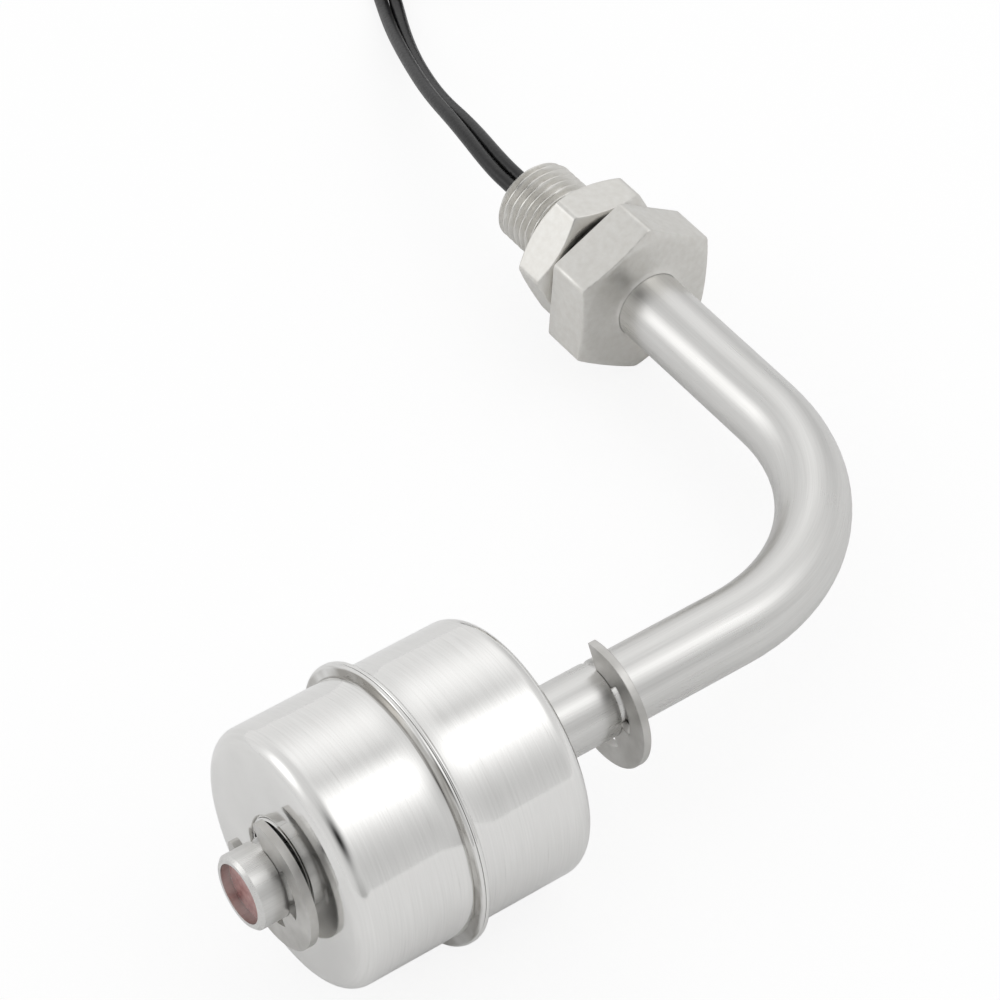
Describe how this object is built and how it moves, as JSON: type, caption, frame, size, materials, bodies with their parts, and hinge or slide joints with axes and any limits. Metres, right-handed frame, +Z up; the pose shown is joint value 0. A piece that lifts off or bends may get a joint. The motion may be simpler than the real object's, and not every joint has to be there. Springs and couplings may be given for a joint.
{
  "type": "float level switch",
  "caption": "Side-mounted float level switch: bent steel tube with a sliding drum float held by spring clips, a hexagon head, threaded stub, lock nut and wire leads.",
  "frame": {"origin": "on the surface that the switch lies on, under the middle of its box without the free leads", "axes": "+Z up from that surface, +X under the thread arm towards the thread's end, +Y roughly along the float arm towards its tip; the switch lies on its float and on the lowest corner of its hexagon head"},
  "size_m": [0.1494, 0.1254, 0.0301],
  "materials": {
    "satin_steel": "satin drawn stainless tube",
    "turned_steel": "fine turned stainless steel",
    "spring_steel": "tumbled stainless spring steel",
    "polished_steel": "polished drawn stainless sheet",
    "ferrite": "dull sintered ferrite",
    "clear_glass": "clear glass",
    "reed_alloy": "bright drawn nickel iron",
    "shrink_tube": "satin shrunk tube",
    "black_insulation": "satin extruded insulation",
    "black_resin": "glossy cast resin",
    "black_rubber": "matte moulded rubber",
    "red_lacquer": "translucent red lacquer",
    "solder": "bright solder",
    "tinned_copper": "tinned stranded copper"
  },
  "bodies": {
    "stem": {"stem_tube": "satin_steel", "tip_plug": "satin_steel", "tip_sealant": "red_lacquer", "threaded_fitting": "turned_steel", "upper_clip": "spring_steel", "lower_clip": "spring_steel", "reed_glass": "clear_glass", "reed_blade_near": "reed_alloy", "reed_blade_far": "reed_alloy", "reed_sleeve": "shrink_tube", "inner_lead_a": "black_insulation", "inner_lead_b": "black_insulation", "potting_plug": "black_resin", "solder_near": "solder", "solder_far": "solder", "lead_a": "black_insulation", "lead_b": "black_insulation", "lead_coil": "black_insulation", "lead_tip_a": "tinned_copper", "lead_tip_b": "tinned_copper"},
    "float_guide": {"float_magnet": "ferrite"},
    "float": {"float_upper_shell": "polished_steel", "float_lower_shell": "polished_steel", "float_sleeve": "polished_steel"},
    "seal": {"sealing_washer": "black_rubber"},
    "nut": {"lock_nut": "turned_steel"}
  },
  "joints": [
    {"name": "float_slide", "type": "slide", "parent": "stem", "child": "float_guide", "axis": [-0.0053, 0.9941, 0.1087], "range_m": [-0.0102, 0.0009]},
    {"name": "float_spin", "type": "hinge", "parent": "float_guide", "child": "float", "pos_m": [-0.02469, 0.02668, 0.01503], "axis": [-0.0053, 0.9941, 0.1087], "continuous": true},
    {"name": "seal_slide", "type": "slide", "parent": "stem", "child": "seal", "axis": [0.9988, 0, 0.049], "range_m": [0, 0.0084]},
    {"name": "nut_turn", "type": "hinge", "parent": "seal", "child": "nut", "pos_m": [0.02858, -0.03587, 0.01009], "axis": [0.9988, 0, 0.049], "range_deg": [0, 2880]}
  ],
  "couplings": [
    {"joint": "seal_slide", "follows": "nut_turn", "m_per_rad": 0.00015915}
  ]
}
